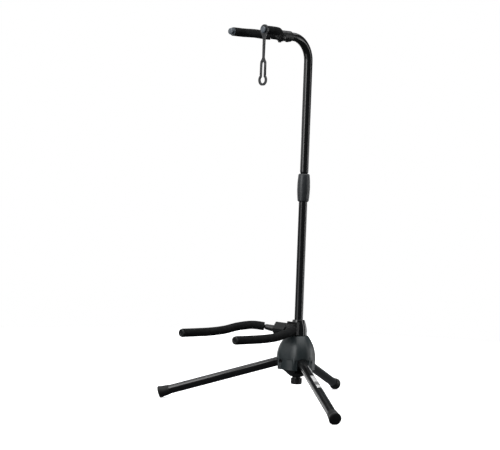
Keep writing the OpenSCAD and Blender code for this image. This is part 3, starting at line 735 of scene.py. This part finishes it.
def make_strap():
    """Rubber strap: a ring around the cap's groove, a flat stem and a keyhole loop."""
    origin = Vector((YOKE_HALF, STRAP_T + 4.5 - YOKE_REACH, YOKE_Z + YOKE_RISE))
    place = MAST @ Matrix.Translation(origin * MM) @ Matrix.Rotation(math.radians(-90), 4, "Z")
    eye = place @ Matrix.Translation(Vector((0, 0, -STRAP_LEN)) * MM)
    loop = STRAP_LOOP - STRAP_LEN
    strap = extruded("neck_strap_rubber", rounded(
        [(-8.6, -6), (8.6, -6), (3.2, -18), (2.6, loop - 1), (8, loop - 9), (8.4, 8 - STRAP_LEN),
         (-8.4, 8 - STRAP_LEN), (-8, loop - 9), (-2.6, loop - 1), (-3.2, -18)], 3, 5), 0, STRAP_T, place)
    disc = [(0, 0), (1, 0), (1, STRAP_T), (0, STRAP_T)]

    def washer(name, radius, where, spare=0):
        outline = [(r * radius, s + (spare if s else -spare)) for r, s in disc]
        return turned(name, outline, where, LEVEL, 96)

    combine(strap, [washer("ring", 11.4, place), washer("eye", 12, eye)], "UNION")
    keyhole = rounded([(0, loop - 7), (3.6, loop - 12), (3.6, -STRAP_LEN), (-3.6, -STRAP_LEN),
                       (-3.6, loop - 12)], 2, 5)
    holes = [washer("ring_hole", 5.5, place, 1), washer("eye_hole", 7.2, eye, 1),
             extruded("keyhole", keyhole, -1, STRAP_T + 1, place)]
    combine(strap, holes, "DIFFERENCE")
    return soft_edges(strap, 0.9, 50)


def make_knob_cap(name, side):
    """End knob of a yoke arm, with a flange against the foam and a groove for the strap."""
    front = Vector(mirror_point((YOKE_HALF, -YOKE_REACH, YOKE_Z + YOKE_RISE), side)) * MM
    outline = [(0, 0), (5, 0.1), (7, 1.4), (7, 3.8), (5, 4.2), (5, 7.8), (8.8, 7.8), (8.8, 8.6),
               (0, 8.6)]
    return turned(name, rounded(outline, 0.8, 5, loop=False), MAST @ Matrix.Translation(front),
                  Route([(0, 0, 0), (0, 1000, 0)]), 72)


def yoke_pieces():
    ready(make_fork(), "upper_mast", "black_plastic", "yoke_fork")
    for side, word in ((1, "right"), (-1, "left")):
        pad = make_pad(f"yoke_foam_{word}", yoke_route(side), 22, YOKE_PAD_R, 8 + side)
        ready(pad, "upper_mast", "foam", f"yoke_pad_{word}")
        ready(make_knob_cap(f"yoke_end_{word}", side), "upper_mast", "grey_plastic", f"yoke_cap_{word}")
    ready(make_strap(), "neck_strap", "strap_rubber", "neck_strap")


# ---- stage, camera and lights --------------------------------------------

def make_stage():
    """A round white floor, reach metres in radius, that throws no light back at the stand."""
    reach = 1.7
    rim = [(reach * math.cos(a), reach * math.sin(a), 0)
           for a in (2 * math.pi * k / 96 for k in range(96))]
    floor = new_piece("floor", rim, [tuple(range(96))])
    floor.data.materials.append(MATERIALS["floor"])
    floor.visible_diffuse = floor.visible_glossy = False


# Where the camera stands around the mast, then how it is turned, in radians
CAMERA_TURN, CAMERA_AWAY, CAMERA_Z = 44.3, 3734.5, 510.6
CAMERA_YAW, CAMERA_PITCH, CAMERA_ROLL = (math.radians(a) for a in (CAMERA_TURN + 1.76, 1.834, 2.1))
CAMERA_LENS = 122.2


def around(turn, away, z):
    """A point around the mast; turn is in degrees from straight ahead of the cradle."""
    a = math.radians(turn)
    return MAST @ (Vector((math.sin(a) * away, -math.cos(a) * away, z)) * MM)


def make_camera():
    forward = Vector((-math.sin(CAMERA_YAW), math.cos(CAMERA_YAW), 0))
    ahead = forward * math.cos(CAMERA_PITCH) - Vector((0, 0, math.sin(CAMERA_PITCH)))
    level = ahead.cross(Vector((0, 0, 1))).normalized()
    above = level.cross(ahead)
    right = level * math.cos(CAMERA_ROLL) + above * math.sin(CAMERA_ROLL)
    up = above * math.cos(CAMERA_ROLL) - level * math.sin(CAMERA_ROLL)
    data = bpy.data.cameras.new("camera")
    data.lens = CAMERA_LENS
    camera = bpy.data.objects.new("camera", data)
    bpy.context.scene.collection.objects.link(camera)
    axes = Matrix((right, up, -ahead)).transposed().to_4x4()
    camera.matrix_world = Matrix.Translation(around(CAMERA_TURN, CAMERA_AWAY, CAMERA_Z)) @ axes
    bpy.context.scene.camera = camera


def add_light(name, turn, away, z, width, height, radiance, aim_z=400):
    """A softbox around the stand, width and height in metres; turn is in degrees to the
    camera's right of the camera."""
    data = bpy.data.lights.new(name, "AREA")
    data.shape, data.size, data.size_y = "RECTANGLE", width, height
    data.energy = radiance * math.pi * width * height
    lamp = bpy.data.objects.new(name, data)
    bpy.context.scene.collection.objects.link(lamp)
    spot = around(CAMERA_TURN + turn, away, z)
    aim = MAST @ (Vector((0, 0, aim_z)) * MM)
    lamp.location = spot
    lamp.visible_camera = False
    lamp.rotation_euler = (aim - spot).to_track_quat("-Z", "Y").to_euler()


def make_lights():
    add_light("left_softbox", -46, 1900, 1350, 1.0, 1.8, 5.6, 650)
    add_light("left_low_softbox", -46, 1900, 50, 1.2, 1.0, 1.5, 300)
    add_light("left_wall", -95, 1900, 1150, 2.0, 1.4, 1.0, 650)
    add_light("right_softbox", 82, 1900, 700, 0.4, 2.0, 3.8)
    add_light("back_left_wall", -156, 2200, 150, 2.2, 1.0, 1.9, 100)
    add_light("back_strip", 176, 2200, 500, 0.9, 0.9, 1.4, 100)
    add_light("right_rim", 122, 2200, 200, 1.0, 1.0, 2.4, 100)
    add_light("top_softbox", 0, 1, 3200, 4.5, 4.5, 2.2)
    world = bpy.data.worlds.new("studio")
    world.use_nodes = True
    bpy.context.scene.world = world
    nodes, links = world.node_tree.nodes, world.node_tree.links
    seen, dim = nodes["Background"], nodes.new("ShaderNodeBackground")
    seen.inputs["Color"].default_value = (1, 1, 1, 1)
    dim.inputs["Color"].default_value = (0.9, 0.95, 1, 1)
    dim.inputs["Strength"].default_value = 0.1
    rays, mix = nodes.new("ShaderNodeLightPath"), nodes.new("ShaderNodeMixShader")
    links.new(rays.outputs["Is Camera Ray"], mix.inputs["Fac"])
    links.new(dim.outputs[0], mix.inputs[1])
    links.new(seen.outputs[0], mix.inputs[2])
    links.new(mix.outputs[0], nodes["World Output"].inputs["Surface"])
    bpy.context.scene.view_settings.view_transform = "Standard"


def dress_nodes():
    """Gives every CAD node that still shows the procedural material of its slot."""
    slots = {}
    for row in frame["record"]["subparts"]:
        slots[row["node"]] = row["material_slot"]
    for name, node in NODES.items():
        node.data.materials.clear()
        node.data.materials.append(MATERIALS[slots[name]])


make_camera()
make_stage()
make_lights()
dress_nodes()
hub_pieces()
for leg in (1, 2, 3):
    leg_pieces(leg)
label_pieces()
mast_pieces()
cradle_pieces()
yoke_pieces()
